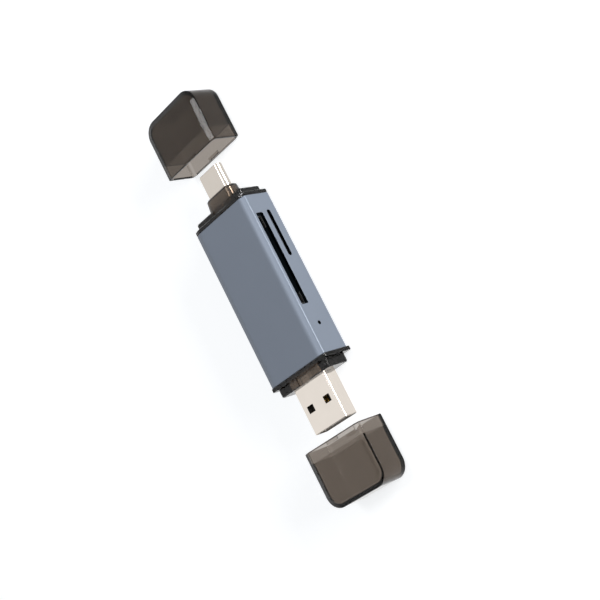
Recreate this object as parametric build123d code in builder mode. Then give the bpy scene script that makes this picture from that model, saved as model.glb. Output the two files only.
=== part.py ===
from build123d import *
import os

os.makedirs("parts", exist_ok=True)

# A memory card reader with a USB-A plug at one end and a USB-C plug at the other, and a
# pull-off cap for each plug. X runs along the reader towards the USB-C plug, the card
# slots face -Y and the broad bare face looks up along +Z. The origin is the middle of
# the face that the reader lies on. The caps stand pulled off, in line with their plugs.

# Aluminium sleeve
sleeve_length = 44.0
sleeve_width = 20.9
sleeve_height = 9.6
sleeve_wall = 0.9
sleeve_corner = 0.4
facet_width = 1.7
facet_drop = 0.6
facet_blend = 3.0
sleeve_inner_corner = 0.6
sleeve_edge_break = 0.15
slot_edge_break = 0.1

# Memory cards
sd_card_width = 24.0
microsd_card_width = 11.0

# Openings in the sleeve's front wall
sd_slot_end_clearance = 0.8
sd_slot_height = 2.4
sd_slot_corner = 0.4
sd_slot_from_c_end = 5.2
microsd_slot_end_clearance = 1.0
microsd_slot_height = 1.25
microsd_slot_from_c_end = 4.8
lamp_hole_diameter = 1.0
lamp_hole_from_slot = 5.5

# Moulded end frames
frame_skirt_depth = 2.0
frame_skirt_wall = 1.0
frame_skirt_corner = 0.5
frame_skirt_inner_corner = 0.25
collar_inset = 1.0
collar_corner = 0.9
collar_bevel = 0.25
flange_bevel = 0.12
a_flange_depth = 1.05
a_flange_corner = 0.55
a_flange_lip = 0.6
a_collar_depth = 2.2
c_flange_depth = 1.0
c_collar_depth = 1.6
c_boss_depth = 3.8
c_boss_margin = 1.52
c_boss_draft = 7.5
c_boss_bevel = 0.35

# Clearances
slide_gap = 0.05
plug_gap = 0.05
cap_gap = 0.15
board_gap = 0.1

# Circuit board
board_thickness = 0.8
board_bottom = 4.25
board_corner = 0.4
a_notch_depth = 2.4
c_notch_depth = 1.2

# USB-A plug
usb_a_width = 12.0
usb_a_height = 4.5
usb_a_sheet = 0.3
usb_a_corner = 0.6
usb_a_reach = 12.1
usb_a_tip_bevel = 0.12
usb_a_seam = 0.08
window_length = 1.9
window_width = 2.25
window_from_tip = 6.15
window_spacing = 6.3
a_tab_length = 1.2
a_tab_reach = 1.7
tongue_setback = 0.4
tongue_length = 9.0
a_contact_sheet = 0.15
a_contact_width = 1.0
a_contact_proud = 0.1
a_contact_tail = 1.2
outer_contact_offset = 3.5
outer_contact_setback = 1.2
inner_contact_offset = 1.0
inner_contact_setback = 2.2

# USB-C plug
usb_c_width = 8.34
usb_c_height = 2.56
usb_c_sheet = 0.25
usb_c_reach = 6.6
usb_c_tip_bevel = 0.12
c_insulator_setback = 0.3
c_slot_width = 6.8
c_slot_height = 0.9
c_slot_depth = 6.0
c_contact_count = 12
c_contact_pitch = 0.5
c_contact_width = 0.28
c_contact_sheet = 0.15
c_contact_setback = 1.2
c_contact_tail = 0.7
c_tab_length = 1.0
c_tab_reach = 1.2
latch_sheet = 0.2
latch_width = 0.35
latch_setback = 1.6

# Card sockets
socket_front_gap = 0.15
socket_wall = 1.0
card_clearance = 0.3
cover_sheet = 0.2
sd_cavity_height = 2.5
sd_floor = 0.55
sd_socket_back_gap = 0.55
sd_cover_lap = 1.6
cover_foot_length = 3.1
cover_foot_depth = 0.55
cover_foot_strip = 0.17
cover_foot_setback = 0.17
microsd_cavity_height = 1.15
microsd_roof = 0.2
microsd_socket_depth = 15.0
spring_sheet = 0.15
spring_side_gap = 0.2
spring_tail = 0.35
spring_foot = 0.5
spring_tip_gap = 0.5
sd_spring_count = 9
sd_spring_pitch = 2.5
sd_spring_width = 0.9
sd_spring_length = 6.5
sd_spring_rise = 0.75
sd_spring_hook = 1.1
microsd_spring_count = 8
microsd_spring_pitch = 1.1
microsd_spring_width = 0.7
microsd_spring_length = 5.0
microsd_spring_rise = 0.3
detect_spring_width = 0.6
detect_spring_length = 4.0
detect_spring_rise = 1.2

# Parts on the board
chip_size = 7.0
chip_height = 0.9
chip_bevel = 0.15
chip_gap = 0.7
chip_to_notch_side_gap = 1.4
chip_dimple_diameter = 0.8
chip_dimple_depth = 0.1
chip_dimple_inset = 1.1
crystal_length = 3.2
crystal_width = 2.5
crystal_height = 0.7
crystal_corner = 0.4
crystal_y = 4.0
regulator_length = 2.9
regulator_width = 1.6
regulator_height = 1.1
regulator_y = -4.0
regulator_lead_width = 0.4
regulator_lead_reach = 0.6
regulator_lead_pitch = 0.95
regulator_lead_height = 0.5
lamp_length = 1.6
lamp_depth = 0.9
lamp_height = 0.7
lamp_lens_diameter = 0.6
lamp_lens_depth = 0.1
small_part_length = 1.6
small_part_width = 0.8
capacitor_height = 0.8
capacitor_columns = 4
capacitor_pitch = 2.4
capacitor_gap = 1.8
resistor_height = 0.45
resistor_count = 5
resistor_pitch = 1.7

# Caps
cap_length = 15.8
cap_wall = 1.25
cap_end_wall = 1.2
cap_end_radius = 4.0
cap_lip_break = 0.25
cap_counterbore_depth = 3.0
cap_rib_width = 4.0
cap_rib_height = 0.3
cap_rib_length = 0.75
cap_rib_setback = 0.2
a_cap_pull = 2.8
c_cap_pull = 3.6

# Places along X
half_length = sleeve_length / 2
a_flange_face = -half_length - a_flange_depth
a_collar_face = a_flange_face - a_collar_depth
a_tip = a_collar_face - usb_a_reach
c_flange_face = half_length + c_flange_depth
c_collar_face = c_flange_face + c_collar_depth
c_boss_face = c_collar_face + c_boss_depth
c_tip = c_boss_face + usb_c_reach
board_end = half_length - frame_skirt_depth - board_gap
a_notch_floor = -board_end + a_notch_depth
c_notch_floor = board_end - c_notch_depth
a_shell_back = a_notch_floor - board_gap
c_shell_back = c_notch_floor + board_gap
a_cap_mouth = a_tip - a_cap_pull
c_cap_mouth = c_tip + c_cap_pull

sd_slot_length = sd_card_width + 2 * sd_slot_end_clearance
sd_slot_x = half_length - sd_slot_from_c_end - sd_slot_length / 2
microsd_slot_length = microsd_card_width + 2 * microsd_slot_end_clearance
microsd_slot_x = half_length - microsd_slot_from_c_end - microsd_slot_length / 2
lamp_hole_x = sd_slot_x - sd_slot_length / 2 - lamp_hole_from_slot

# Places across Y
inner_width = sleeve_width - 2 * sleeve_wall
board_width = inner_width - 2 * board_gap
socket_front = -inner_width / 2 + socket_front_gap
sd_back = inner_width / 2 - sd_socket_back_gap

# Heights
middle = sleeve_height / 2
inner_height = sleeve_height - 2 * sleeve_wall
board_top = board_bottom + board_thickness
board_middle = board_bottom + board_thickness / 2
usb_a_z = board_top
usb_c_z = board_middle
sd_floor_top = board_top + sd_floor
sd_ceiling = sd_floor_top + sd_cavity_height
sd_slot_z = sd_floor_top + sd_cavity_height / 2
microsd_roof_under = board_bottom - microsd_roof
microsd_bottom = microsd_roof_under - microsd_cavity_height
microsd_slot_z = microsd_roof_under - microsd_cavity_height / 2
lamp_z = board_top + lamp_height / 2

# Sections shared by the frames and the caps
collar_width = sleeve_width - 2 * collar_inset
collar_height = sleeve_height - 2 * collar_inset
rib_channel_width = cap_rib_width + 2 * cap_gap
rib_channel_depth = cap_rib_height
skirt_width = inner_width - 2 * slide_gap
skirt_height = inner_height - 2 * slide_gap


def faceted_bar(x_start, x_end):
    """A run along X with the housing's section: a low facet along each of its long edges.

    The facet is soft where it meets a broad face and crisp where it meets a narrow one.
    """
    front = -sleeve_width / 2
    back = sleeve_width / 2
    facet_top = sleeve_height - facet_drop
    with BuildSketch(Plane.YZ.offset(x_start)) as section:
        with BuildLine():
            Polyline((front + facet_width, 0), (back - facet_width, 0), (back, facet_drop),
                     (back, facet_top), (back - facet_width, sleeve_height),
                     (front + facet_width, sleeve_height), (front, facet_top),
                     (front, facet_drop), close=True)
        make_face()
        broad_corners = section.vertices().group_by(Axis.Y)
        fillet(broad_corners[0] + broad_corners[-1], facet_blend)
        narrow_corners = section.vertices().group_by(Axis.X)
        fillet(narrow_corners[0] + narrow_corners[-1], sleeve_corner)
    extrude(section.sketch, amount=x_end - x_start)


def bar(x_start, x_end, width, height, corner, y, z, mode=Mode.ADD):
    """A straight run along X whose rounded rectangular section is centred on y and z."""
    with BuildSketch(Plane.YZ.offset(x_start)) as section:
        with Locations((y, z)):
            RectangleRounded(width, height, corner)
    extrude(section.sketch, amount=x_end - x_start, mode=mode)


def pill(x_start, x_end, width, height, z, mode=Mode.ADD):
    """A straight run along X whose section has fully round sides, centred on z."""
    with BuildSketch(Plane.YZ.offset(x_start)) as section:
        with Locations((0, z)):
            SlotOverall(width, height)
    extrude(section.sketch, amount=x_end - x_start, mode=mode)


def block(x_span, y_span, z_span, mode=Mode.ADD):
    """A rectangular block between the two values given for each axis."""
    with BuildSketch(Plane.XY.offset(z_span[0])) as foot:
        with Locations(((x_span[0] + x_span[1]) / 2, (y_span[0] + y_span[1]) / 2)):
            Rectangle(abs(x_span[1] - x_span[0]), abs(y_span[1] - y_span[0]))
    extrude(foot.sketch, amount=z_span[1] - z_span[0], mode=mode)


def centred(middle_value, size):
    """The two ends of a span of the given size."""
    return middle_value - size / 2, middle_value + size / 2


def pitched(count, pitch, centre=0):
    """The middles of evenly spaced pieces."""
    return [centre + (index - (count - 1) / 2) * pitch for index in range(count)]


def frame_body(side, flange_face, collar_face):
    """Breaks a flange's edges and adds its collar with two rib channels and hollow skirt."""
    sleeve_end = side * half_length
    skirt_end = sleeve_end - side * frame_skirt_depth
    outer_group = -1 if side > 0 else 0
    flange_edges = edges().group_by(Axis.X)
    chamfer(flange_edges[0] + flange_edges[-1], flange_bevel)
    bar(flange_face, collar_face, collar_width, collar_height, collar_corner, 0, middle)
    chamfer(edges().group_by(Axis.X)[outer_group], collar_bevel)
    for level, depth in ((sleeve_height - collar_inset, -rib_channel_depth),
                         (collar_inset, rib_channel_depth)):
        heights = sorted((level - depth, level + depth))
        block(sorted((flange_face, collar_face)), centred(0, rib_channel_width), heights,
              Mode.SUBTRACT)
    bar(sleeve_end, skirt_end, skirt_width, skirt_height, frame_skirt_corner, 0, middle)
    bar(sleeve_end, skirt_end, skirt_width - 2 * frame_skirt_wall,
        skirt_height - 2 * frame_skirt_wall, frame_skirt_inner_corner, 0, middle, Mode.SUBTRACT)


def cap_form(mouth, side, length, width, height, plan_radius):
    """The form of a cap or of its hollow: square at the mouth, round-cornered at its end."""
    end_group = -1 if side > 0 else 0
    with BuildPart() as form:
        with BuildSketch(Plane.XY.offset(middle - height / 2)) as outline:
            with Locations((mouth + side * length / 2, 0)):
                Rectangle(length, width)
            fillet(outline.vertices().group_by(Axis.X)[end_group], plan_radius)
        extrude(amount=height)
    return form.part


def facet_cap(mouth):
    """Carries the housing's facets along a solid cap and round its closed end."""
    for place in (0, -1):
        broad_face = faces().sort_by(Axis.Z)[place]
        rim = broad_face.edges().filter_by(lambda edge: abs(edge.center().X - mouth) > facet_width)
        chamfer(rim, facet_width, facet_drop, reference=broad_face)


def cap_details(mouth, side):
    """Stepped mouth of a cap and the two ribs that grip the collar's channels."""
    bore_end = mouth + side * cap_counterbore_depth
    bore_width = collar_width + 2 * cap_gap
    bore_height = collar_height + 2 * cap_gap
    bar(mouth, bore_end, bore_width, bore_height, collar_corner, 0, middle, Mode.SUBTRACT)
    mouth_group = 0 if side > 0 else -1
    chamfer(edges().group_by(Axis.X)[mouth_group], cap_lip_break)
    rib_start = mouth + side * cap_rib_setback
    rib_span = sorted((rib_start, rib_start + side * cap_rib_length))
    rib_root = cap_gap + cap_rib_height
    for level, inward in ((middle + bore_height / 2, -1), (middle - bore_height / 2, 1)):
        heights = sorted((level + inward * cap_rib_height, level - inward * rib_root))
        block(rib_span, centred(0, cap_rib_width), heights)


def spring_strip(x, width, points):
    """One bent contact spring, its path given as y and z, its width along X."""
    with BuildSketch(Plane.YZ.offset(x - width / 2)) as profile:
        with BuildLine():
            Polyline(*points)
        trace(line_width=spring_sheet)
    extrude(profile.sketch, amount=width)


# Sleeve: an extruded tube with two card slots and a lamp hole in its front wall
with BuildPart() as housing_sleeve:
    faceted_bar(-half_length, half_length)
    sleeve_ends = housing_sleeve.edges().group_by(Axis.X)
    chamfer(sleeve_ends[0] + sleeve_ends[-1], sleeve_edge_break)
    bar(-half_length, half_length, inner_width, inner_height, sleeve_inner_corner, 0, middle,
        Mode.SUBTRACT)
    with BuildSketch(Plane.XZ.offset(sleeve_width / 2)):
        with Locations((sd_slot_x, sd_slot_z)):
            RectangleRounded(sd_slot_length, sd_slot_height, sd_slot_corner)
        with Locations((microsd_slot_x, microsd_slot_z)):
            SlotOverall(microsd_slot_length, microsd_slot_height)
        with Locations((lamp_hole_x, lamp_z)):
            Circle(lamp_hole_diameter / 2)
    extrude(amount=-2 * sleeve_wall, mode=Mode.SUBTRACT)
    front_face = housing_sleeve.faces().sort_by(Axis.Y)[0]
    chamfer([edge for wire in front_face.inner_wires() for edge in wire.edges()], slot_edge_break)
housing_sleeve.part.label = "housing_sleeve"
export_step(housing_sleeve.part, "parts/housing_sleeve.step")

# USB-A end frame: one moulding, its flange standing proud along the front
with BuildPart() as usb_a_end_frame:
    bar(-half_length, a_flange_face, sleeve_width + a_flange_lip, sleeve_height, a_flange_corner,
        -a_flange_lip / 2, middle)
    frame_body(-1, a_flange_face, a_collar_face)
    bar(a_collar_face, -half_length, usb_a_width + 2 * plug_gap, usb_a_height + 2 * plug_gap,
        usb_a_corner + plug_gap, 0, usb_a_z, Mode.SUBTRACT)
usb_a_end_frame.part.label = "usb_a_end_frame"
export_step(usb_a_end_frame.part, "parts/usb_a_end_frame.step")

# USB-C end frame: one moulding with a drafted boss around the plug's root
with BuildPart() as usb_c_end_frame:
    faceted_bar(half_length, c_flange_face)
    frame_body(1, c_flange_face, c_collar_face)
    with BuildSketch(Plane.YZ.offset(c_collar_face)):
        with Locations((0, usb_c_z)):
            SlotOverall(usb_c_width + 2 * c_boss_margin, usb_c_height + 2 * c_boss_margin)
    extrude(amount=c_boss_depth, taper=c_boss_draft)
    chamfer(edges().group_by(Axis.X)[-1], c_boss_bevel)
    pill(half_length, c_boss_face, usb_c_width + 2 * plug_gap, usb_c_height + 2 * plug_gap,
         usb_c_z, Mode.SUBTRACT)
usb_c_end_frame.part.label = "usb_c_end_frame"
export_step(usb_c_end_frame.part, "parts/usb_c_end_frame.step")

# Circuit board, notched at each end for a plug
with BuildPart() as circuit_board:
    with BuildSketch(Plane.XY.offset(board_bottom)):
        RectangleRounded(2 * board_end, board_width, board_corner)
        with Locations((-board_end + a_notch_depth / 2, 0)):
            Rectangle(a_notch_depth, usb_a_width + 2 * board_gap, mode=Mode.SUBTRACT)
        with Locations((board_end - c_notch_depth / 2, 0)):
            Rectangle(c_notch_depth, usb_c_width + 2 * board_gap, mode=Mode.SUBTRACT)
    extrude(amount=board_thickness)
circuit_board.part.label = "circuit_board"
export_step(circuit_board.part, "parts/circuit_board.step")

# USB-A shell: folded sheet with two windows above and two below, seamed underneath
with BuildPart() as usb_a_shell:
    bar(a_tip, a_shell_back, usb_a_width, usb_a_height, usb_a_corner, 0, usb_a_z)
    chamfer(usb_a_shell.edges().group_by(Axis.X)[0], usb_a_tip_bevel)
    for tab_side in (-1, 1):
        tab_root = tab_side * (usb_a_width / 2 - usb_a_sheet)
        tab_end = tab_side * (usb_a_width / 2 + a_tab_reach)
        block((-board_end + board_gap, -board_end + board_gap + a_tab_length),
              sorted((tab_root, tab_end)), (board_top, board_top + usb_a_sheet))
    bar(a_tip, a_shell_back, usb_a_width - 2 * usb_a_sheet, usb_a_height - 2 * usb_a_sheet,
        usb_a_corner - usb_a_sheet, 0, usb_a_z, Mode.SUBTRACT)
    with BuildSketch(Plane.XY.offset(usb_a_z - usb_a_height)):
        with Locations((a_tip + window_from_tip, -window_spacing / 2),
                       (a_tip + window_from_tip, window_spacing / 2)):
            Rectangle(window_length, window_width)
    extrude(amount=2 * usb_a_height, mode=Mode.SUBTRACT)
    block((a_tip, a_shell_back), centred(0, usb_a_seam),
          (usb_a_z - usb_a_height / 2, usb_a_z - usb_a_height / 2 + 2 * usb_a_sheet),
          Mode.SUBTRACT)
usb_a_shell.part.label = "usb_a_shell"
export_step(usb_a_shell.part, "parts/usb_a_shell.step")

# USB-A insulator: a tongue in the lower half of the shell and a block behind it
a_block_face = a_tip + tongue_setback + tongue_length
a_contact_top = board_top + a_contact_sheet
tongue_top = a_contact_top - a_contact_proud
a_inner_width = usb_a_width - 2 * usb_a_sheet - 2 * plug_gap
a_inner_height = usb_a_height - 2 * usb_a_sheet - 2 * plug_gap
a_inner_corner = usb_a_corner - usb_a_sheet - plug_gap
a_contact_ends = [(side * offset, a_tip + setback) for side in (-1, 1) for offset, setback in (
    (outer_contact_offset, outer_contact_setback), (inner_contact_offset, inner_contact_setback))]
with BuildPart() as usb_a_insulator:
    bar(a_tip + tongue_setback, a_shell_back, a_inner_width, a_inner_height, a_inner_corner,
        0, usb_a_z)
    block((a_tip, a_block_face), centred(0, usb_a_width), (tongue_top, usb_a_z + usb_a_height),
          Mode.SUBTRACT)
    for contact_y, contact_start in a_contact_ends:
        block((contact_start, a_shell_back), centred(contact_y, a_contact_width),
              (board_top, a_contact_top), Mode.SUBTRACT)
usb_a_insulator.part.label = "usb_a_insulator"
export_step(usb_a_insulator.part, "parts/usb_a_insulator.step")

# USB-A contacts: four strips that lie in the tongue's grooves and end on the board
with BuildPart() as usb_a_contacts:
    for contact_y, contact_start in a_contact_ends:
        block((contact_start, a_notch_floor + a_contact_tail),
              centred(contact_y, a_contact_width), (board_top, a_contact_top))
usb_a_contacts.part.label = "usb_a_contacts"
export_step(usb_a_contacts.part, "parts/usb_a_contacts.step")

# USB-C shell: a seamless drawn tube with two tabs on the board
with BuildPart() as usb_c_shell:
    pill(c_shell_back, c_tip, usb_c_width, usb_c_height, usb_c_z)
    chamfer(usb_c_shell.edges().group_by(Axis.X)[-1], usb_c_tip_bevel)
    for tab_side in (-1, 1):
        tab_root = tab_side * (usb_c_width / 2 - usb_c_sheet)
        tab_end = tab_side * (usb_c_width / 2 + c_tab_reach)
        block((c_shell_back, c_shell_back + c_tab_length), sorted((tab_root, tab_end)),
              (board_top, board_top + usb_c_sheet))
    pill(c_shell_back, c_tip, usb_c_width - 2 * usb_c_sheet, usb_c_height - 2 * usb_c_sheet,
         usb_c_z, Mode.SUBTRACT)
usb_c_shell.part.label = "usb_c_shell"
export_step(usb_c_shell.part, "parts/usb_c_shell.step")

# USB-C insulator: fills the shell behind a slot for the socket's tongue
c_slot_floor = c_tip - c_insulator_setback - c_slot_depth
c_contact_start = c_tip - c_contact_setback
c_contact_rows = pitched(c_contact_count, c_contact_pitch)
c_contact_low = board_thickness / 2
c_contact_high = c_contact_low + c_contact_sheet
latch_arm_outer = c_slot_width / 2 - plug_gap
with BuildPart() as usb_c_insulator:
    pill(c_shell_back, c_tip - c_insulator_setback,
         usb_c_width - 2 * usb_c_sheet - 2 * plug_gap,
         usb_c_height - 2 * usb_c_sheet - 2 * plug_gap, usb_c_z)
    block((c_slot_floor, c_tip), centred(0, c_slot_width), centred(usb_c_z, c_slot_height),
          Mode.SUBTRACT)
    block((c_shell_back, c_slot_floor), centred(0, 2 * latch_arm_outer),
          centred(usb_c_z, latch_sheet), Mode.SUBTRACT)
    for contact_y in c_contact_rows:
        for level in (usb_c_z + c_contact_low, usb_c_z - c_contact_high):
            block((c_shell_back, c_contact_start), centred(contact_y, c_contact_width),
                  (level, level + c_contact_sheet), Mode.SUBTRACT)
usb_c_insulator.part.label = "usb_c_insulator"
export_step(usb_c_insulator.part, "parts/usb_c_insulator.step")

# USB-C contacts: one row above the board's edge and one below it
for row_name, row_level in (("usb_c_upper_contacts", usb_c_z + c_contact_low),
                            ("usb_c_lower_contacts", usb_c_z - c_contact_high)):
    with BuildPart() as contact_row:
        for contact_y in c_contact_rows:
            block((c_notch_floor - c_contact_tail, c_contact_start),
                  centred(contact_y, c_contact_width), (row_level, row_level + c_contact_sheet))
    contact_row.part.label = row_name
    export_step(contact_row.part, f"parts/{row_name}.step")

# USB-C latch plate: a plate between the contact rows with an arm along each side of the slot
with BuildPart() as usb_c_latch_plate:
    block((c_notch_floor, c_slot_floor), centred(0, 2 * latch_arm_outer),
          centred(usb_c_z, latch_sheet))
    for arm_side in (-1, 1):
        arm_span = sorted((arm_side * latch_arm_outer, arm_side * (latch_arm_outer - latch_width)))
        block((c_slot_floor, c_tip - latch_setback), arm_span, centred(usb_c_z, latch_sheet))
usb_c_latch_plate.part.label = "usb_c_latch_plate"
export_step(usb_c_latch_plate.part, "parts/usb_c_latch_plate.step")

# SD socket: a moulded tray on the board, open to the slot
sd_cavity_width = sd_card_width + 2 * card_clearance
sd_socket_width = sd_cavity_width + 2 * socket_wall
sd_spring_window = sd_back - socket_wall - sd_spring_length
sd_spring_places = pitched(sd_spring_count, sd_spring_pitch, sd_slot_x)
detect_places = [sd_slot_x + side * (sd_cavity_width / 2 - detect_spring_width)
                 for side in (-1, 1)]
with BuildPart() as sd_socket_base:
    block(centred(sd_slot_x, sd_socket_width), (socket_front, sd_back), (board_top, sd_ceiling))
    block(centred(sd_slot_x, sd_cavity_width), (socket_front, sd_back - socket_wall),
          (sd_floor_top, sd_ceiling), Mode.SUBTRACT)
    for spring_x in sd_spring_places:
        block(centred(spring_x, sd_spring_width + 2 * spring_side_gap),
              (sd_spring_window, sd_back), (board_top, sd_floor_top), Mode.SUBTRACT)
sd_socket_base.part.label = "sd_socket_base"
export_step(sd_socket_base.part, "parts/sd_socket_base.step")

# SD cover: folded sheet over the tray, lapping down its sides, and at each end of the mouth
# a leg inside the tray that turns in along its floor as a narrow loop
foot_front = socket_front + cover_foot_setback
foot_back = foot_front + cover_foot_depth
with BuildPart() as sd_socket_cover:
    block(centred(sd_slot_x, sd_socket_width + 2 * cover_sheet), (socket_front, sd_back),
          (sd_ceiling - sd_cover_lap, sd_ceiling + cover_sheet))
    block(centred(sd_slot_x, sd_socket_width), (socket_front, sd_back),
          (sd_ceiling - sd_cover_lap, sd_ceiling), Mode.SUBTRACT)
    for end_side in (-1, 1):
        tray_side = sd_slot_x + end_side * sd_cavity_width / 2
        foot_end = tray_side - end_side * cover_foot_length
        leg_inside = tray_side - end_side * cover_sheet
        block(sorted((tray_side, leg_inside)), (foot_front, foot_back),
              (sd_floor_top, sd_ceiling))
        block(sorted((tray_side, foot_end)), (foot_front, foot_back),
              (sd_floor_top, sd_floor_top + cover_sheet))
        block(sorted((leg_inside, foot_end + end_side * cover_foot_strip)),
              (foot_front + cover_foot_strip, foot_back - cover_foot_strip),
              (sd_floor_top, sd_floor_top + cover_sheet), Mode.SUBTRACT)
sd_socket_cover.part.label = "sd_socket_cover"
export_step(sd_socket_cover.part, "parts/sd_socket_cover.step")

# SD contact springs: soldered behind the tray, arched up into the card's path
spring_level = board_top + spring_sheet / 2
sd_spring_tip = sd_spring_window + spring_tip_gap
with BuildPart() as sd_contacts:
    for spring_x in sd_spring_places:
        spring_strip(spring_x, sd_spring_width, [
            (sd_back + spring_tail, spring_level),
            (sd_back - socket_wall - spring_foot, spring_level),
            (sd_spring_tip + sd_spring_hook, spring_level + sd_spring_rise),
            (sd_spring_tip, spring_level + sd_spring_rise / 2),
        ])
sd_contacts.part.label = "sd_contacts"
export_step(sd_contacts.part, "parts/sd_contacts.step")

# SD detect springs: one at each side of the tray, for card present and write protect
with BuildPart() as sd_detect_springs:
    for spring_x in detect_places:
        spring_strip(spring_x, detect_spring_width, [
            (sd_back - socket_wall, sd_floor_top + spring_sheet / 2),
            (sd_back - socket_wall - detect_spring_length / 2, sd_floor_top + spring_sheet / 2),
            (sd_back - socket_wall - detect_spring_length, sd_floor_top + detect_spring_rise),
        ])
sd_detect_springs.part.label = "sd_detect_springs"
export_step(sd_detect_springs.part, "parts/sd_detect_springs.step")

# MicroSD socket: a moulded tray hung under the board, open to the slot
microsd_cavity_width = microsd_card_width + 2 * card_clearance
microsd_socket_width = microsd_cavity_width + 2 * socket_wall
microsd_back = socket_front + microsd_socket_depth
microsd_spring_window = microsd_back - socket_wall - microsd_spring_length
microsd_spring_places = pitched(microsd_spring_count, microsd_spring_pitch, microsd_slot_x)
with BuildPart() as microsd_socket_base:
    block(centred(microsd_slot_x, microsd_socket_width), (socket_front, microsd_back),
          (microsd_bottom, board_bottom))
    block(centred(microsd_slot_x, microsd_cavity_width),
          (socket_front, microsd_back - socket_wall), (microsd_bottom, microsd_roof_under),
          Mode.SUBTRACT)
    for spring_x in microsd_spring_places:
        block(centred(spring_x, microsd_spring_width + spring_side_gap),
              (microsd_spring_window, microsd_back), (microsd_roof_under, board_bottom),
              Mode.SUBTRACT)
microsd_socket_base.part.label = "microsd_socket_base"
export_step(microsd_socket_base.part, "parts/microsd_socket_base.step")

# MicroSD cover: folded sheet under the tray, lapping up its sides to the board
with BuildPart() as microsd_socket_cover:
    block(centred(microsd_slot_x, microsd_socket_width + 2 * cover_sheet),
          (socket_front, microsd_back), (microsd_bottom - cover_sheet, board_bottom))
    block(centred(microsd_slot_x, microsd_socket_width), (socket_front, microsd_back),
          (microsd_bottom, board_bottom), Mode.SUBTRACT)
microsd_socket_cover.part.label = "microsd_socket_cover"
export_step(microsd_socket_cover.part, "parts/microsd_socket_cover.step")

# MicroSD contact springs: soldered behind the tray, arched down into the card's path
microsd_spring_level = board_bottom - spring_sheet / 2
with BuildPart() as microsd_contacts:
    for spring_x in microsd_spring_places:
        spring_strip(spring_x, microsd_spring_width, [
            (microsd_back + spring_tail, microsd_spring_level),
            (microsd_back - socket_wall - spring_foot, microsd_spring_level),
            (microsd_spring_window + spring_tip_gap, microsd_spring_level - microsd_spring_rise),
        ])
microsd_contacts.part.label = "microsd_contacts"
export_step(microsd_contacts.part, "parts/microsd_contacts.step")

# Places under the board, between the USB-A notch and the microSD socket
microsd_socket_end = microsd_slot_x - microsd_socket_width / 2 - cover_sheet
resistor_x = microsd_socket_end - chip_gap - small_part_length / 2
chip_x = resistor_x - small_part_length / 2 - chip_gap - chip_size / 2
crystal_x = chip_x - chip_size / 2 - chip_to_notch_side_gap - crystal_length / 2
regulator_x = chip_x - chip_size / 2 - chip_to_notch_side_gap - regulator_length / 2
capacitor_row_y = chip_size / 2 + capacitor_gap + small_part_width / 2

# Controller: a flat leadless chip under the board, with a dimple at its first corner
with BuildPart() as controller_chip:
    block(centred(chip_x, chip_size), centred(0, chip_size),
          (board_bottom - chip_height, board_bottom))
    chamfer(controller_chip.faces().sort_by(Axis.Z)[0].edges(), chip_bevel)
    with BuildSketch(Plane.XY.offset(board_bottom - chip_height)):
        with Locations((chip_x - chip_size / 2 + chip_dimple_inset,
                        chip_size / 2 - chip_dimple_inset)):
            Circle(chip_dimple_diameter / 2)
    extrude(amount=chip_dimple_depth, mode=Mode.SUBTRACT)
controller_chip.part.label = "controller_chip"
export_step(controller_chip.part, "parts/controller_chip.step")

# Crystal: a small can under the board
with BuildPart() as crystal:
    with BuildSketch(Plane.XY.offset(board_bottom - crystal_height)):
        with Locations((crystal_x, crystal_y)):
            RectangleRounded(crystal_length, crystal_width, crystal_corner)
    extrude(amount=crystal_height)
crystal.part.label = "crystal"
export_step(crystal.part, "parts/crystal.step")

# Voltage regulator: a moulded body with two leads on one side and three on the other
with BuildPart() as voltage_regulator:
    block(centred(regulator_x, regulator_length), centred(regulator_y, regulator_width),
          (board_bottom - regulator_height, board_bottom))
    for lead_side, lead_columns in ((-1, (-1, 0, 1)), (1, (-1, 1))):
        lead_root = regulator_y + lead_side * regulator_width / 2
        for column in lead_columns:
            block(centred(regulator_x + column * regulator_lead_pitch, regulator_lead_width),
                  sorted((lead_root, lead_root + lead_side * regulator_lead_reach)),
                  (board_bottom - regulator_lead_height, board_bottom))
voltage_regulator.part.label = "voltage_regulator"
export_step(voltage_regulator.part, "parts/voltage_regulator.step")

# Activity lamp: a side-looking lamp on the board, its lens towards the hole in the sleeve
lamp_front = -board_width / 2 + lamp_lens_depth
with BuildPart() as activity_led:
    block(centred(lamp_hole_x, lamp_length), (lamp_front, lamp_front + lamp_depth),
          (board_top, board_top + lamp_height))
    with BuildSketch(Plane.XZ.offset(-lamp_front)):
        with Locations((lamp_hole_x, lamp_z)):
            Circle(lamp_lens_diameter / 2)
    extrude(amount=lamp_lens_depth)
activity_led.part.label = "activity_led"
export_step(activity_led.part, "parts/activity_led.step")

# Capacitors: two rows of four under the board, beside the chip
with BuildPart() as capacitors:
    with BuildSketch(Plane.XY.offset(board_bottom - capacitor_height)):
        with Locations((chip_x, 0)):
            with GridLocations(capacitor_pitch, 2 * capacitor_row_y, capacitor_columns, 2):
                Rectangle(small_part_length, small_part_width)
    extrude(amount=capacitor_height)
capacitors.part.label = "capacitors"
export_step(capacitors.part, "parts/capacitors.step")

# Resistors: one column under the board, between the chip and the microSD socket
with BuildPart() as resistors:
    with BuildSketch(Plane.XY.offset(board_bottom - resistor_height)):
        with Locations((resistor_x, 0)):
            with GridLocations(resistor_pitch, resistor_pitch, 1, resistor_count):
                Rectangle(small_part_length, small_part_width)
    extrude(amount=resistor_height)
resistors.part.label = "resistors"
export_step(resistors.part, "parts/resistors.step")

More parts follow.
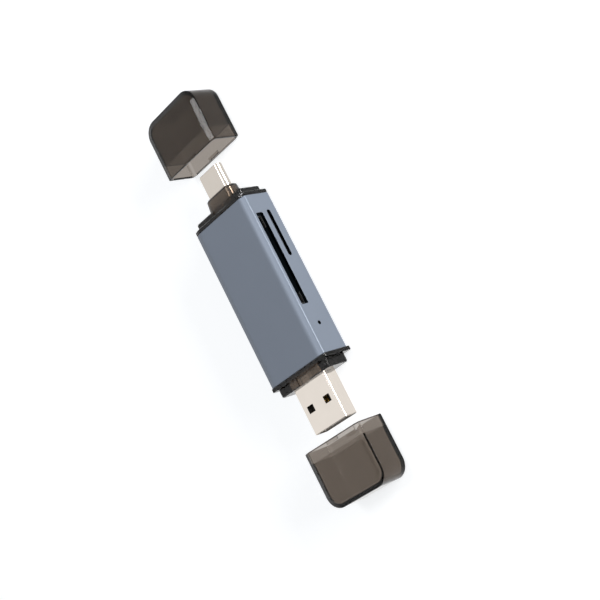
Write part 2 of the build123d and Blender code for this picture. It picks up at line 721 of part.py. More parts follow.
# Caps: thin mouldings with the sleeve's section, pulled off along X
hollow_width = sleeve_width - 2 * cap_wall
hollow_height = sleeve_height - 2 * cap_wall
hollow_length = cap_length - cap_end_wall
hollow_radius = cap_end_radius - cap_wall
for cap_name, cap_mouth, cap_side in (("usb_a_cap", a_cap_mouth, -1),
                                      ("usb_c_cap", c_cap_mouth, 1)):
    solid_cap = cap_form(cap_mouth, cap_side, cap_length, sleeve_width, sleeve_height,
                         cap_end_radius)
    cap_core = cap_form(cap_mouth, cap_side, hollow_length, hollow_width, hollow_height,
                        hollow_radius)
    with BuildPart() as plug_cap:
        add(solid_cap)
        facet_cap(cap_mouth)
        add(cap_core, mode=Mode.SUBTRACT)
        cap_details(cap_mouth, cap_side)
    plug_cap.part.label = cap_name
    export_step(plug_cap.part, f"parts/{cap_name}.step")
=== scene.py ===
"""Dresses a two-plug memory card reader: a finish for every piece, finer caps and a plain stage."""

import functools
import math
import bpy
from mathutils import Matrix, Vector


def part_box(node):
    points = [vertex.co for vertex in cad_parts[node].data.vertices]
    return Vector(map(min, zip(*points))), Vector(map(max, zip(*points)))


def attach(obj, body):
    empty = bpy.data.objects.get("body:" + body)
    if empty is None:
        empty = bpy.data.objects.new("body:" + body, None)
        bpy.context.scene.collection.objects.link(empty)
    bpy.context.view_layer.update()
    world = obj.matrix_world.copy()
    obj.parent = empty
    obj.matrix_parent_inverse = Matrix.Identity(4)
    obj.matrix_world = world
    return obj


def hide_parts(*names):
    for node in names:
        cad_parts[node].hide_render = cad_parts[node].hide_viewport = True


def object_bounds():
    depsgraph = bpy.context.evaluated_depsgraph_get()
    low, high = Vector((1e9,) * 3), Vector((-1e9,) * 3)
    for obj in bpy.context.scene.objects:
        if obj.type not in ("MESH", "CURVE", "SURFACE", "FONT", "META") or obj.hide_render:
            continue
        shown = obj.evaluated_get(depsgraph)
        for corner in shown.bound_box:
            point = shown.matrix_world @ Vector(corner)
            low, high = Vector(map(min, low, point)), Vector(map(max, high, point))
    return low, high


bl_info = {
    "name": "Memory Card Reader",
    "version": (1, 0, 0),
    "blender": (4, 5, 0),
    "location": "View3D > Sidebar > Card Reader",
    "description": "Finishes, fine pieces and a plain stage for a memory card reader with two plugs",
    "category": "Object",
}

import bmesh
import bpy
from bpy.props import FloatProperty, FloatVectorProperty, PointerProperty
from mathutils import Matrix, Vector

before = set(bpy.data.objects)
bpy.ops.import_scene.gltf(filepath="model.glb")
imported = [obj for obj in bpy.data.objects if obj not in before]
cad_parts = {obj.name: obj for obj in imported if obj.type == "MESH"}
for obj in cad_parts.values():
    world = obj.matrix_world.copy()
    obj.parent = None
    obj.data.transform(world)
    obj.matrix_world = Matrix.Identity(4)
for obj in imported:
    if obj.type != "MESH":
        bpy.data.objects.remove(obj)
cad_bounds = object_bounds()

READER = "reader"
MILLIMETRE = 0.001
WHITE = (1, 1, 1, 1)

# How many straight steps stand for a rounded stretch
BLEND_STEPS = 6
CORNER_STEPS = 8
PLAN_STEPS = 12

# Places of a Mix node's colour sockets, which share their names with its other sockets
MIX_FACTOR, MIX_FIRST, MIX_SECOND = 0, 6, 7
MIX_RESULT = 2


def colour(name, description, default):
    """A colour that a user can change."""
    return FloatVectorProperty(name=name, description=description, default=default,
                               subtype="COLOR", size=3, min=0, max=1)


def length(name, description, millimetres):
    """A length that a user can change, given here in millimetres."""
    return FloatProperty(name=name, description=description, default=millimetres * MILLIMETRE,
                         unit="LENGTH", precision=5, min=0)


def share(name, description, default):
    """A share between nought and one that a user can change."""
    return FloatProperty(name=name, description=description, default=default,
                         subtype="FACTOR", min=0, max=1)


def density(name, description, default):
    """A strength of absorption that a user can change."""
    return FloatProperty(name=name, description=description, default=default, min=0)


class SleeveLook(bpy.types.PropertyGroup):
    """Finish of the aluminium sleeve."""

    tint: colour("Anodised colour", "Colour of the satin anodised skin", (0.180, 0.212, 0.267))
    # Painted shade: the near black colour given to the walls inside the slots, where the slots are
    # dark
    slot_shade_tint: colour("Slot shade colour", "Colour of the slots' edges", (0.005, 0.011, 0.016))
    roughness: share("Roughness", "How satin the skin is", 0.42)
    metal: share("Metal", "How much of the skin's light is a metal's reflection", 0.30)
    grain: length("Grain size", "Size of the blasted grain under the anodising", 0.09)


class SmokeLook(bpy.types.PropertyGroup):
    """Smoke-coloured clear plastic of the caps and the end frames."""

    tint: colour("Smoke colour", "Colour that light keeps in the USB-A cap and the end frames",
                 (0.34, 0.27, 0.20))
    usb_c_tint: colour("USB-C smoke", "Colour that light keeps in the USB-C cap",
                       (0.36, 0.30, 0.24))
    usb_a_cap: density("USB-A cap", "Absorption for each metre of the USB-A cap", 1200)
    usb_c_cap: density("USB-C cap", "Absorption for each metre of the USB-C cap", 1780)
    frames: density("End frames", "Absorption for each metre of the end frames", 1200)
    roughness: share("Roughness", "Haze of the caps' polished moulding", 0.03)
    frame_haze: share("Frame haze", "Roughness that the end frames have on top of that", 0.08)
    gloss: share("Cap gloss", "Strength of the caps' reflections", 0.3)
    frame_gloss: share("Frame gloss", "Strength of the end frames' reflections", 0.5)


class PlugLook(bpy.types.PropertyGroup):
    """Finish of the two plug shells."""

    usb_a_tint: colour("USB-A steel", "Colour of the USB-A shell's plating", (0.77, 0.71, 0.645))
    usb_c_tint: colour("USB-C steel", "Colour of the USB-C shell's plating", (0.62, 0.57, 0.515))
    roughness: share("Roughness", "How dull the plated steel is", 0.08)


class CapLook(bpy.types.PropertyGroup):
    """Sizes of the moulded caps that their bounding boxes don't give."""

    wall: length("Wall", "Thickness of the four side walls", 1.25)
    end_wall: length("End wall", "Thickness of the closed end", 1.2)
    end_radius: length("End radius", "Radius of the two upright corners at the closed end", 4.0)
    facet_width: length("Facet width", "Width of the low facet across each broad face", 1.7)
    facet_drop: length("Facet drop", "How far the facet falls towards the side", 0.6)
    facet_blend: length("Facet blend", "Rounding where the facet meets the broad face", 0.6)
    side_corner: length("Side corner", "Rounding where the facet meets the side", 0.3)
    inner_edge: length("Inner edge radius", "Rounding of the hollow's long edges", 0.45)
    usb_a_counterbore: length("USB-A counterbore", "Depth of the wider stretch at the mouth", 3.0)
    usb_c_counterbore: length("USB-C counterbore", "Depth of the wider stretch at the mouth", 4.0)
    collar_inset: length("Collar inset", "How far the reader's collar stands in from the sleeve", 1.0)
    collar_corner: length("Collar corner", "Corner radius of the collar and the counterbore", 0.9)
    gap: length("Fit", "Gap between the counterbore and the collar", 0.15)
    rib_width: length("Rib width", "Width of the two ribs behind the mouth", 4.0)
    rib_height: length("Rib height", "How far each rib stands into the counterbore", 0.3)
    rib_length: length("Rib length", "Length of each rib along the cap", 0.75)
    rib_setback: length("Rib setback", "Distance of each rib behind the mouth", 0.2)
    rib_edge: length("Rib edge", "Rounding of each rib's edges", 0.1)
    lip_break: length("Lip break", "How far the mouth's edges are broken", 0.25)


class StageLook(bpy.types.PropertyGroup):
    """Camera, lamps and floor."""

    lens: FloatProperty(name="Lens", default=79.2, min=1, unit="CAMERA",
                        description="Focal length on a 36 mm frame")
    azimuth: FloatProperty(name="Azimuth", default=math.radians(-17.67), subtype="ANGLE",
                           description="Turn of the camera about the upright axis")
    elevation: FloatProperty(name="Elevation", default=math.radians(46.90), subtype="ANGLE",
                             description="Height of the camera above the horizon")
    roll: FloatProperty(name="Roll", default=math.radians(-103.82), subtype="ANGLE",
                        description="Turn of the camera about its own line of sight")
    distance: length("Distance", "From the camera to the point it looks at", 329.2)
    fill: share("Fill", "Strength of the even light from all round", 0.22)
    key_power: FloatProperty(name="Key", default=4.9, min=0, unit="POWER",
                             description="Power of the soft lamp low in front of the card slots")
    top_power: FloatProperty(name="Top", default=0.8, min=0, unit="POWER",
                             description="Power of the soft lamp that the facets mirror")
    floor_glow: share("Floor glow", "Light that the floor adds for the camera alone", 0.76)


class CardReaderLook(bpy.types.PropertyGroup):
    """Everything that a user can change."""

    sleeve: PointerProperty(type=SleeveLook)
    smoke: PointerProperty(type=SmokeLook)
    plug: PointerProperty(type=PlugLook)
    cap: PointerProperty(type=CapLook)
    stage: PointerProperty(type=StageLook)


class Shade:
    """A shader socket with operators, so that an expression adds its own Math nodes."""

    def __init__(self, tree, socket=None):
        self.tree = tree
        self.socket = socket

    def node(self, kind, settings=None, inputs=None, output=0):
        """Adds a node, sets it, fills its sockets and gives back one of its outputs, if any."""
        made = self.tree.nodes.new(kind)
        for name, value in (settings or {}).items():
            setattr(made, name, value)
        for name, value in (inputs or {}).items():
            if isinstance(value, Shade):
                self.tree.links.new(value.socket, made.inputs[name])
            else:
                made.inputs[name].default_value = value
        return Shade(self.tree, made.outputs[output]) if made.outputs else None

    def maths(self, operation, first, second):
        """One Math node."""
        return self.node("ShaderNodeMath", {"operation": operation}, {0: first, 1: second})

    def __add__(self, other):
        return self.maths("ADD", self, other)

    def __radd__(self, other):
        return self.maths("ADD", other, self)

    def __sub__(self, other):
        return self.maths("SUBTRACT", self, other)

    def __rsub__(self, other):
        return self.maths("SUBTRACT", other, self)

    def __mul__(self, other):
        return self.maths("MULTIPLY", self, other)

    def __rmul__(self, other):
        return self.maths("MULTIPLY", other, self)

    def __gt__(self, other):
        return self.maths("GREATER_THAN", self, other)

    def __lt__(self, other):
        return self.maths("LESS_THAN", self, other)

    def either(self, other):
        """The larger of two values, which is the union of two masks."""
        return self.maths("MAXIMUM", self, other)

    def from_to(self, low, high):
        """A number that goes from low to high as this value goes from 0 to 1."""
        return low + (high - low) * self

    def place(self, scale=(1, 1, 1)):
        """The point on the piece, in metres times the scale given for each axis."""
        point = self.node("ShaderNodeTexCoord", output="Object")
        return self.node("ShaderNodeMapping", {"vector_type": "POINT"},
                         {"Vector": point, "Scale": scale})

    def within(self, axis, low, high):
        """One where the piece's place along an axis lies between two values, else nought."""
        place = self.node("ShaderNodeSeparateXYZ", None, {"Vector": self.place()}, axis)
        return (place > low) - (place > high)

    def noise(self, size, stretch=(1, 1, 1), detail=3):
        """A noise whose features have about the given size in metres."""
        return self.node("ShaderNodeTexNoise", {"noise_dimensions": "3D"},
                         {"Vector": self.place(stretch), "Scale": 1 / size, "Detail": detail})

    def blend(self, first, second):
        """A colour that goes from the first to the second as this value goes from 0 to 1."""
        first, second = (end if isinstance(end, Shade) else (*end, 1) for end in (first, second))
        return self.node("ShaderNodeMix", {"data_type": "RGBA"},
                         {MIX_FACTOR: self, MIX_FIRST: first, MIX_SECOND: second}, MIX_RESULT)

    def tones(self, tint, darker, lighter):
        """The tint, from its darker to its lighter tone as this value goes from 0 to 1."""
        return self.blend(scaled(tint, darker), scaled(tint, lighter))

    def relief(self, strength, depth):
        """A surface direction tilted by this value's bumps."""
        return self.node("ShaderNodeBump", None,
                         {"Height": self, "Strength": strength, "Distance": depth})

    def principled(self, sockets, volume=None):
        """Ends a material in a Principled shader with these sockets, and its volume if it has one."""
        ends = {"Surface": self.node("ShaderNodeBsdfPrincipled", None, sockets)}
        if volume:
            ends["Volume"] = volume
        self.node("ShaderNodeOutputMaterial", None, ends)


def scaled(tone, factor):
    """A colour made lighter or darker."""
    return tuple(min(1, part * factor) for part in tone)


def new_material(name):
    """An empty material, and the graph that fills it."""
    material = bpy.data.materials.new(name)
    material.use_nodes = True
    material.node_tree.nodes.clear()
    return material, Shade(material.node_tree)


def anodised_aluminium(look):
    """Satin aluminium: a fine blasted grain under a coloured skin, with painted shade that makes the
    walls inside the slots a near black mirror.
    """
    low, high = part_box("housing_sleeve")
    middle = 0
    skin_depth = 0.12 * MILLIMETRE
    facet_clearance = 1.2 * MILLIMETRE
    cloud_share = 0.6
    haze = 0.03
    material, graph = new_material("anodised_aluminium")
    cloud = graph.noise(size=9 * MILLIMETRE)
    grain = graph.noise(size=look.grain, detail=2)
    speckle = cloud * cloud_share + grain * (1 - cloud_share)
    skin = speckle.tones(look.tint, darker=0.94, lighter=1.06)
    # Painted shade: inside the slots the walls turn a near black mirror, standing in for the dark of
    # the slots' recess
    cut = (graph.within("Y", low.y + skin_depth, middle)
           * graph.within("Z", low.z + facet_clearance, high.z - facet_clearance))
    graph.principled({
        "Base Color": cut.blend(skin, look.slot_shade_tint),
        "Metallic": cut.from_to(look.metal, 1),
        "Roughness": grain.from_to(look.roughness - haze, look.roughness + haze),
        "Normal": grain.relief(strength=0.12, depth=0.01 * MILLIMETRE),
    })
    return material


def smoke_plastic(name, tint, absorption, roughness, gloss):
    """Polished clear plastic that darkens with the depth of plastic that light crosses."""
    faint_grey = (0.95, 0.95, 0.95)
    clear = (1, 1, 1)
    haze = 0.02
    material, graph = new_material(name)
    ripple = graph.noise(size=3 * MILLIMETRE, detail=1)
    smoke = graph.node("ShaderNodeVolumeAbsorption", None,
                       {"Color": (*tint, 1), "Density": absorption})
    graph.principled({
        "Base Color": ripple.blend(faint_grey, clear),
        "Roughness": ripple.from_to(roughness, roughness + haze),
        "IOR": 1.5,
        "Transmission Weight": 1.0,
        "Specular Tint": (gloss, gloss, gloss, 1),
        "Normal": ripple.relief(strength=0.006, depth=0.02 * MILLIMETRE),
    }, smoke)
    return material


def drawn_metal(name, tint, roughness):
    """Plated sheet: fine lines along the way that it was rolled, and a faint cloud of wear."""
    smoothest = roughness - 0.04
    line_haze = 0.05
    wear_haze = 0.04
    material, graph = new_material(name)
    lines = graph.noise(size=0.12 * MILLIMETRE, stretch=(0.04, 1, 1), detail=2)
    cloud = graph.noise(size=4 * MILLIMETRE)
    graph.principled({
        "Base Color": cloud.tones(tint, darker=0.96, lighter=1.03),
        "Metallic": 1.0,
        "Roughness": smoothest + line_haze * lines + wear_haze * cloud,
        "Normal": lines.relief(strength=0.05, depth=0.004 * MILLIMETRE),
    })
    return material


def moulded_plastic(name, tint, roughness, gloss=0.5):
    """Opaque moulded plastic with a spark-eroded grain."""
    haze = 0.1
    material, graph = new_material(name)
    grain = graph.noise(size=0.15 * MILLIMETRE)
    graph.principled({
        "Base Color": grain.tones(tint, darker=0.8, lighter=1.25),
        "Roughness": grain.from_to(roughness, roughness + haze),
        "Specular IOR Level": gloss,
        "Normal": grain.relief(strength=0.15, depth=0.01 * MILLIMETRE),
    })
    return material


def solder_mask():
    """Green lacquer over copper tracks, which show through as a lighter green."""
    bare = (0.010, 0.085, 0.035)
    over_copper = (0.022, 0.17, 0.065)
    track_pitch = 2.6 * MILLIMETRE
    track_share = 0.8
    ripple = 0.1
    material, graph = new_material("solder_mask")
    tracks = graph.node("ShaderNodeTexBrick", {"offset": 0.37, "squash": 1.6}, {
        "Vector": graph.place(), "Scale": 1 / track_pitch, "Mortar Size": 0.05,
        "Mortar Smooth": 0.1}, "Fac")
    cloud = graph.noise(size=2 * MILLIMETRE)
    green = tracks * track_share + cloud * (1 - track_share)
    graph.principled({
        "Base Color": green.blend(bare, over_copper),
        "Roughness": cloud.from_to(0.3, 0.4),
        "Coat Weight": 0.4,
        "Normal": (tracks + ripple * cloud).relief(strength=0.4, depth=0.02 * MILLIMETRE),
    })
    return material


def clear_resin():
    """Epoxy of the unlit lamp, darkened as painted shade of its deep hole, with a faint warm cloud.
    """
    # Painted shade: these near black tones stand in for the dark of the lamp's deep hole
    dark = (0.10, 0.10, 0.09)
    pale = (0.16, 0.16, 0.15)
    material, graph = new_material("clear_resin")
    cloud = graph.noise(size=0.4 * MILLIMETRE)
    graph.principled({
        "Base Color": cloud.blend(dark, pale),
        "Roughness": cloud.from_to(0.12, 0.18),
        "IOR": 1.52,
        "Transmission Weight": 0.6,
        "Normal": cloud.relief(strength=0.05, depth=0.01 * MILLIMETRE),
    })
    return material


def dress(material, *names):
    """Gives CAD nodes a material."""
    for name in names:
        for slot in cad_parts[name].material_slots:
            slot.material = material


def loose(name, form):
    """A bare object of a bmesh, to cut, join or dress."""
    mesh = bpy.data.meshes.new(name)
    form.to_mesh(mesh)
    form.free()
    piece = bpy.data.objects.new(name, mesh)
    bpy.context.scene.collection.objects.link(piece)
    return piece


def keep(name, form, material, slot, body, *replaced):
    """Makes an object of a bmesh, dressed, smoothed, riding on its body."""
    piece = loose(name, form)
    piece.data.materials.append(material)
    smooth(piece)
    if replaced:
        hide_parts(*replaced)
    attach(piece, body)


def smooth(piece):
    """Smooth shading that stays crisp at sharp edges and flat on large faces."""
    sharp_angle = math.radians(35)
    for face in piece.data.polygons:
        face.use_smooth = True
    piece.data.set_sharp_from_angle(angle=sharp_angle)
    settle(piece, "WEIGHTED_NORMAL", keep_sharp=True, weight=100)


def settle(piece, kind, **settings):
    """Adds a modifier and applies its result to the piece's mesh."""
    modifier = piece.modifiers.new(kind.title(), kind)
    for name, value in settings.items():
        setattr(modifier, name, value)
    graph = bpy.context.evaluated_depsgraph_get()
    result = bpy.data.meshes.new_from_object(piece.evaluated_get(graph))
    piece.modifiers.clear()
    old = piece.data
    piece.data = result
    bpy.data.meshes.remove(old)


def arc(centre, radius, start, end, steps):
    """Points along an arc in the plane, from one angle to another."""
    return [(centre[0] + radius * math.cos(start + (end - start) * i / steps),
             centre[1] + radius * math.sin(start + (end - start) * i / steps))
            for i in range(steps + 1)]


def edge_arc(inset, drop, radius, start, end, steps):
    """Part of a long edge's section: how far in from the side and down from the broad face."""
    down = 3 * math.pi / 2
    return arc((inset, drop), radius, down - start, down - end, steps)


def round_section(radius):
    """Section of a plainly rounded long edge, from the broad face to the side."""
    return edge_arc(radius, radius, radius, 0, math.pi / 2, CORNER_STEPS)


def facet_section(look):
    """Section of a long edge with a low facet, soft at the broad face and crisp at the side."""
    slope = math.atan2(look.facet_drop, look.facet_width)
    soft_reach = look.facet_blend * math.tan(slope / 2)
    crisp_reach = look.side_corner * math.tan((math.pi / 2 - slope) / 2)
    soft = edge_arc(look.facet_width + soft_reach, look.facet_blend, look.facet_blend, 0, slope,
                    BLEND_STEPS)
    crisp = edge_arc(look.side_corner, look.facet_drop + crisp_reach, look.side_corner, slope,
                     math.pi / 2, CORNER_STEPS)
    return soft + crisp


def cap_outline(mouth, side, depth, half, end_radius, inset):
    """Plan of a cap from one corner of its mouth round the closed end to the other corner."""
    turn = mouth + side * (depth - end_radius)
    corner = arc((0, half - end_radius), end_radius - inset, math.pi / 2, 0, PLAN_STEPS)
    far = [(turn + side * x, y) for x, y in corner]
    return [(mouth, half - inset), *far, *[(x, -y) for x, y in reversed(far)],
            (mouth, inset - half)]


def cap_block(mouth, side, depth, width, low, high, end_radius, section, lip=0):
    """A block square at its mouth and rounded at its end, with its long edges' section."""
    levels = [(low + drop, inset) for inset, drop in section]
    levels += [(high - drop, inset) for inset, drop in reversed(section)]
    form = bmesh.new()
    rings = [[form.verts.new((x, y, z)) for x, y in
              cap_outline(mouth, side, depth, width / 2, end_radius, inset)]
             for z, inset in levels]
    for lower, upper in zip(rings, rings[1:]):
        for index in range(len(lower) - 1):
            form.faces.new((lower[index], lower[index + 1], upper[index + 1], upper[index]))
    form.faces.new(rings[0])
    form.faces.new(rings[-1])
    rim = form.faces.new([ring[0] for ring in rings] + [ring[-1] for ring in reversed(rings)])
    bmesh.ops.recalc_face_normals(form, faces=form.faces)
    if lip:
        bmesh.ops.bevel(form, geom=rim.edges[:], offset=lip, segments=3, profile=0.5,
                        affect="EDGES")
    return form


def flared_bar(stations, width, low, high, corner):
    """A bar along X with a rounded rectangular section, which grows as each station says."""
    middle = (low + high) / 2
    quarter = math.pi / 2
    form = bmesh.new()
    rings = []
    for x, growth in stations:
        points = []
        for index, (y_side, z_side) in enumerate(((1, 1), (-1, 1), (-1, -1), (1, -1))):
            centre = (y_side * (width / 2 - corner), middle + z_side * ((high - low) / 2 - corner))
            points += arc(centre, corner + growth, index * quarter, (index + 1) * quarter,
                          CORNER_STEPS)
        rings.append([form.verts.new((x, y, z)) for y, z in points])
    for near, far in zip(rings, rings[1:]):
        for index in range(len(near)):
            form.faces.new((near[index - 1], near[index], far[index], far[index - 1]))
    form.faces.new(rings[0])
    form.faces.new(rings[-1])
    bmesh.ops.recalc_face_normals(form, faces=form.faces)
    return form


def soft_block(low, high, edge):
    """A rectangular block with softly broken edges."""
    form = bmesh.new()
    bmesh.ops.create_cube(form, size=1)
    low, high = Vector(low), Vector(high)
    stretch = Matrix.Translation((low + high) / 2) @ Matrix.Diagonal(high - low).to_4x4()
    bmesh.ops.transform(form, matrix=stretch, verts=form.verts)
    bmesh.ops.bevel(form, geom=form.edges[:], offset=edge, segments=2, profile=0.5,
                    affect="EDGES")
    return form


def combine(piece, other, operation):
    """Cuts another object from a piece, or joins it on, and clears the other away."""
    settle(piece, "BOOLEAN", object=other, operation=operation, solver="EXACT")
    if not piece.data.polygons:
        raise RuntimeError(piece.name + " has no faces left after " + other.name)
    old = other.data
    bpy.data.objects.remove(other)
    bpy.data.meshes.remove(old)


def cap_piece(node, mouth_side, counterbore, look, material):
    """One moulded cap in fine detail, in the place of its CAD node and on the body of that name."""
    low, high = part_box(node)
    side = -mouth_side
    mouth = high.x if side < 0 else low.x
    depth, width = high.x - low.x, high.y - low.y
    past_mouth = mouth - side * look.wall
    cap = loose(node + "_moulding", cap_block(mouth, side, depth, width, low.z, high.z,
                                              look.end_radius, facet_section(look), look.lip_break))
    hollow_depth = depth - look.end_wall + look.wall
    hollow = loose("hollow", cap_block(past_mouth, side, hollow_depth, width - 2 * look.wall,
                                       low.z + look.wall, high.z - look.wall,
                                       look.end_radius - look.wall,
                                       round_section(look.inner_edge)))
    combine(cap, hollow, "DIFFERENCE")
    bore_inset = look.collar_inset - look.gap
    stations = ((past_mouth, look.lip_break + look.wall), (mouth + side * look.lip_break, 0),
                (mouth + side * counterbore, 0))
    bore = loose("bore", flared_bar(stations, width - 2 * bore_inset, low.z + bore_inset,
                                    high.z - bore_inset, look.collar_corner))
    combine(cap, bore, "DIFFERENCE")
    rib_ends = sorted((mouth + side * look.rib_setback,
                       mouth + side * (look.rib_setback + look.rib_length)))
    sunk = bore_inset / 2
    for foot, tip in ((low.z + sunk, low.z + bore_inset + look.rib_height),
                      (high.z - sunk, high.z - bore_inset - look.rib_height)):
        rib = loose("rib", soft_block((rib_ends[0], -look.rib_width / 2, min(foot, tip)),
                                      (rib_ends[1], look.rib_width / 2, max(foot, tip)),
                                      look.rib_edge))
        combine(cap, rib, "UNION")
    cap.data.materials.clear()
    cap.data.materials.append(material)
    smooth(cap)
    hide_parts(node)
    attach(cap, node)


def solid_boxes(node):
    """Lowest and highest corner of each separate solid in a CAD node."""
    weld_distance = 0.001 * MILLIMETRE
    form = bmesh.new()
    form.from_mesh(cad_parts[node].data)
    bmesh.ops.remove_doubles(form, verts=form.verts, dist=weld_distance)
    unseen = set(form.verts)
    boxes = []
    while unseen:
        reached = [unseen.pop()]
        for vertex in reached:
            for edge in vertex.link_edges:
                other = edge.other_vert(vertex)
                if other in unseen:
                    unseen.remove(other)
                    reached.append(other)
        places = [vertex.co.copy() for vertex in reached]
        boxes.append((Vector(min(p[i] for p in places) for i in range(3)),
                      Vector(max(p[i] for p in places) for i in range(3))))
    form.free()
    return sorted(boxes, key=lambda box: tuple(box[0]))


def add_form(target, source):
    """Moves one bmesh's surface into another."""
    mesh = bpy.data.meshes.new("passing")
    source.to_mesh(mesh)
    source.free()
    target.from_mesh(mesh)
    bpy.data.meshes.remove(mesh)


def chip_components(node, tone, slot, tinned):
    """Glazed bodies between tinned ends, in the place of a node's capacitors or resistors."""
    terminal = 0.32 * MILLIMETRE
    inset = 0.03 * MILLIMETRE
    edge = 0.06 * MILLIMETRE
    glaze = moulded_plastic(node + "_glaze", tone, roughness=0.4)
    bodies, ends = bmesh.new(), bmesh.new()
    for low, high in solid_boxes(node):
        body_low = (low.x + terminal, low.y + inset, low.z + inset)
        body_high = (high.x - terminal, high.y - inset, high.z)
        add_form(bodies, soft_block(body_low, body_high, edge))
        add_form(ends, soft_block(low, (low.x + terminal, high.y, high.z), edge))
        add_form(ends, soft_block((high.x - terminal, low.y, low.z), high, edge))
    keep(node + "_bodies", bodies, glaze, slot, READER, node)
    keep(node + "_terminals", ends, tinned, slot, READER)


class CARDREADER_OT_sleeve(bpy.types.Operator):
    """Finish the anodised aluminium sleeve"""

    bl_idname = "card_reader.sleeve"
    bl_label = "Finish Sleeve"

    def execute(self, context):
        dress(anodised_aluminium(context.scene.card_reader.sleeve), "housing_sleeve")
        return {"FINISHED"}


class CARDREADER_OT_end_frames(bpy.types.Operator):
    """Finish the two smoke-coloured end frames"""

    bl_idname = "card_reader.end_frames"
    bl_label = "Finish End Frames"

    def execute(self, context):
        look = context.scene.card_reader.smoke
        plastic = smoke_plastic("frame_smoke_plastic", look.tint, look.frames,
                                look.roughness + look.frame_haze, look.frame_gloss)
        dress(plastic, "usb_a_end_frame", "usb_c_end_frame")
        return {"FINISHED"}


class CARDREADER_OT_plugs(bpy.types.Operator):
    """Finish the shells, insulators, contacts and latch of both plugs"""

    bl_idname = "card_reader.plugs"
    bl_label = "Finish Plugs"

    def execute(self, context):
        look = context.scene.card_reader.plug
        insulator_black = (0.012, 0.012, 0.012)
        contact_gold = (0.83, 0.60, 0.22)
        latch_grey = (0.62, 0.60, 0.57)
        dress(drawn_metal("usb_a_plating", look.usb_a_tint, look.roughness), "usb_a_shell")
        dress(drawn_metal("usb_c_plating", look.usb_c_tint, look.roughness), "usb_c_shell")
        dress(moulded_plastic("plug_insulator", insulator_black, roughness=0.42),
              "usb_a_insulator", "usb_c_insulator")
        dress(drawn_metal("gold_plate", contact_gold, roughness=0.22),
              "usb_a_contacts", "usb_c_upper_contacts", "usb_c_lower_contacts")
        dress(drawn_metal("latch_steel", latch_grey, roughness=0.3), "usb_c_latch_plate")
        return {"FINISHED"}


class CARDREADER_OT_card_sockets(bpy.types.Operator):
    """Finish the trays, covers and springs of both card sockets"""

    bl_idname = "card_reader.card_sockets"
    bl_label = "Finish Card Sockets"

    def execute(self, context):
        tray_black = (0.004, 0.007, 0.010)
        cover_grey = (0.70, 0.69, 0.67)
        spring_gold = (0.80, 0.60, 0.27)
        dress(moulded_plastic("socket_tray", tray_black, roughness=0.6, gloss=0.1),
              "sd_socket_base", "microsd_socket_base")
        dress(drawn_metal("cover_sheet", cover_grey, roughness=0.28),
              "sd_socket_cover", "microsd_socket_cover")
        dress(drawn_metal("spring_gold", spring_gold, roughness=0.26),
              "sd_contacts", "sd_detect_springs", "microsd_contacts")
        return {"FINISHED"}


class CARDREADER_OT_board(bpy.types.Operator):
    """Finish the circuit board and what is soldered to it"""

    bl_idname = "card_reader.board"
    bl_label = "Finish Board"

    def execute(self, context):
        chip_black = (0.02, 0.02, 0.021)
        can_grey = (0.66, 0.65, 0.62)
        tin = (0.74, 0.73, 0.70)
        glaze_tan = (0.30, 0.19, 0.10)
        glaze_black = (0.015, 0.015, 0.017)
        dress(solder_mask(), "circuit_board")
        dress(moulded_plastic("chip_resin", chip_black, roughness=0.55),
              "controller_chip", "voltage_regulator")
        dress(drawn_metal("crystal_can", can_grey, roughness=0.3), "crystal")
        dress(clear_resin(), "activity_led")
        tinned = drawn_metal("tinned_end", tin, roughness=0.34)
        chip_components("capacitors", glaze_tan, "capacitor_tan", tinned)
        chip_components("resistors", glaze_black, "resistor_black", tinned)
        return {"FINISHED"}


class CARDREADER_OT_caps(bpy.types.Operator):
    """Mould the two smoke caps, with their rounded hollows, stepped mouths and ribs"""

    bl_idname = "card_reader.caps"
    bl_label = "Mould Caps"

    def execute(self, context):
        smoke = context.scene.card_reader.smoke
        cap = context.scene.card_reader.cap
        for node, mouth_side, tint, absorption, counterbore in (
                ("usb_a_cap", 1, smoke.tint, smoke.usb_a_cap, cap.usb_a_counterbore),
                ("usb_c_cap", -1, smoke.usb_c_tint, smoke.usb_c_cap, cap.usb_c_counterbore)):
            plastic = smoke_plastic(node + "_plastic", tint, absorption, smoke.roughness,
                                    smoke.gloss)
            cap_piece(node, mouth_side, counterbore, cap, plastic)
        return {"FINISHED"}


def rays(graph, *kinds):
    """One for rays of the kinds named, else nought."""
    masks = [graph.node("ShaderNodeLightPath", output=f"Is {kind} Ray") for kind in kinds]
    return functools.reduce(Shade.either, masks)


def white_world(fill):
    """White to the camera and in reflections, an even pale light to everything else."""
    world = bpy.data.worlds.new("white_studio")
    world.use_nodes = True
    world.node_tree.nodes.clear()
    graph = Shade(world.node_tree)
    strength = rays(graph, "Camera", "Glossy", "Transmission").from_to(fill, 1)
    glow = graph.node("ShaderNodeBackground", None, {"Color": WHITE, "Strength": strength})
    graph.node("ShaderNodeOutputWorld", None, {"Surface": glow})
    bpy.context.scene.world = world


def floor_material(glow):
    """A pale floor that keeps a soft shadow, and is plain white in metal and clear plastic."""
    floor_grey = (0.56, 0.56, 0.56, 1)
    glow_tone = (0.96, 0.98, 1, 1)
    material, graph = new_material("studio_floor")
    matte = graph.node("ShaderNodeBsdfDiffuse", None, {"Color": floor_grey})
    lifted = graph.node("ShaderNodeEmission", None,
                        {"Color": glow_tone, "Strength": glow * rays(graph, "Camera")})
    seen = graph.node("ShaderNodeAddShader", None, {0: matte, 1: lifted})
    white = graph.node("ShaderNodeEmission", None, {"Color": WHITE, "Strength": 1.0})
    mixed = graph.node("ShaderNodeMixShader", None,
                       {0: rays(graph, "Glossy", "Transmission"), 1: seen, 2: white})
    graph.node("ShaderNodeOutputMaterial", None, {"Surface": mixed})
    return material


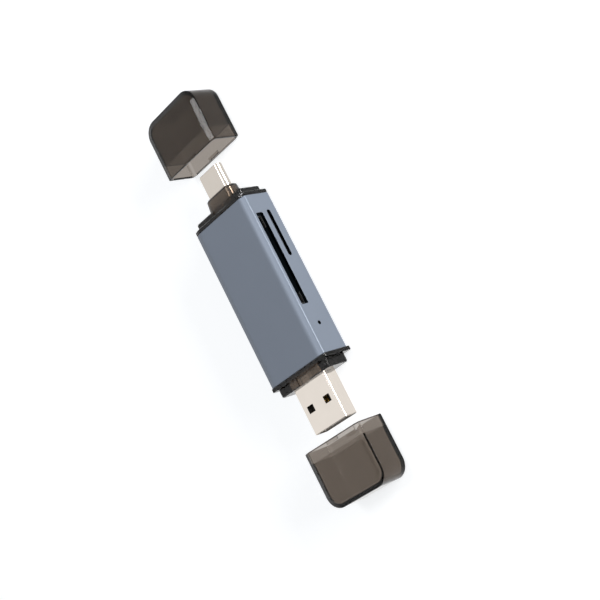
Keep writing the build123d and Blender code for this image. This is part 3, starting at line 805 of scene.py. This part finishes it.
def lay_floor(glow):
    """A wide level floor just under the reader."""
    reach = 3
    gap = 0.02 * MILLIMETRE
    form = bmesh.new()
    bmesh.ops.create_grid(form, x_segments=1, y_segments=1, size=reach)
    floor = loose("studio_floor", form)
    floor.location.z = cad_bounds[0].z - gap
    floor.data.materials.append(floor_material(glow))


def soft_lamp(name, place, target, size, power, tone):
    """A large rectangular lamp at a place, turned towards a point, with lengths in millimetres."""
    lamp = bpy.data.lights.new(name, "AREA")
    lamp.shape = "RECTANGLE"
    lamp.size, lamp.size_y = (side * MILLIMETRE for side in size)
    lamp.energy = power
    lamp.color = tone
    place, target = Vector(place) * MILLIMETRE, Vector(target) * MILLIMETRE
    holder = bpy.data.objects.new(name, lamp)
    holder.location = place
    holder.rotation_euler = (target - place).to_track_quat("-Z", "Y").to_euler()
    bpy.context.scene.collection.objects.link(holder)


def place_camera(scene, look):
    """Looks along the photograph's line of sight, rolled as its frame is."""
    target = Vector((-5.427, -3.409, 0.219)) * MILLIMETRE
    across, climb = look.azimuth, look.elevation
    back = Vector((math.sin(across) * math.cos(climb), -math.cos(across) * math.cos(climb),
                   math.sin(climb)))
    level = Vector((math.cos(across), math.sin(across), 0))
    upright = back.cross(level)
    right = math.cos(look.roll) * level + math.sin(look.roll) * upright
    up = back.cross(right)
    camera = bpy.data.cameras.new("camera")
    camera.lens = look.lens
    camera.sensor_width = 36
    camera.clip_start = 0.01
    holder = bpy.data.objects.new("camera", camera)
    holder.matrix_world = Matrix.Translation(target + back * look.distance) @ Matrix(
        (right, up, back)).transposed().to_4x4()
    scene.collection.objects.link(holder)
    scene.camera = holder


class CARDREADER_OT_stage(bpy.types.Operator):
    """Set the floor, the soft lamps, the white world and the camera"""

    bl_idname = "card_reader.stage"
    bl_label = "Set Stage"

    def execute(self, context):
        look = context.scene.card_reader.stage
        lay_floor(look.floor_glow)
        white_world(look.fill)
        soft_lamp("key_lamp", place=(60, -590, 125), target=(0, 0, 0), size=(450, 220),
                  power=look.key_power, tone=(1, 0.99, 0.97))
        soft_lamp("facet_lamp", place=(195, 22, 600), target=(195, 22, 0), size=(250, 80),
                  power=look.top_power, tone=(0.97, 0.98, 1))
        place_camera(context.scene, look)
        context.scene.view_settings.view_transform = "Standard"
        return {"FINISHED"}


OPERATORS = (
    CARDREADER_OT_sleeve, CARDREADER_OT_end_frames, CARDREADER_OT_plugs,
    CARDREADER_OT_card_sockets, CARDREADER_OT_board, CARDREADER_OT_caps, CARDREADER_OT_stage,
)


class CARDREADER_PT_panel(bpy.types.Panel):
    """The reader's pieces and finishes, in the sidebar"""

    bl_idname = "CARDREADER_PT_panel"
    bl_label = "Card Reader"
    bl_space_type = "VIEW_3D"
    bl_region_type = "UI"
    bl_category = "Card Reader"

    def draw(self, context):
        look = context.scene.card_reader
        for operator in OPERATORS:
            self.layout.operator(operator.bl_idname)
        for group in (look.sleeve, look.smoke, look.plug, look.cap, look.stage):
            box = self.layout.box()
            for name in group.__annotations__:
                box.prop(group, name)


CLASSES = (SleeveLook, SmokeLook, PlugLook, CapLook, StageLook, CardReaderLook, *OPERATORS,
           CARDREADER_PT_panel)


def register():
    """Adds the classes and the reader's settings."""
    for each in CLASSES:
        bpy.utils.register_class(each)
    bpy.types.Scene.card_reader = PointerProperty(type=CardReaderLook)


def unregister():
    """Takes the settings and the classes away again."""
    del bpy.types.Scene.card_reader
    for each in reversed(CLASSES):
        bpy.utils.unregister_class(each)


def main():
    """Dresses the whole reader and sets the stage."""
    register()
    bpy.ops.card_reader.sleeve()
    bpy.ops.card_reader.end_frames()
    bpy.ops.card_reader.plugs()
    bpy.ops.card_reader.card_sockets()
    bpy.ops.card_reader.board()
    bpy.ops.card_reader.caps()
    bpy.ops.card_reader.stage()


if __name__ == "__main__":
    main()
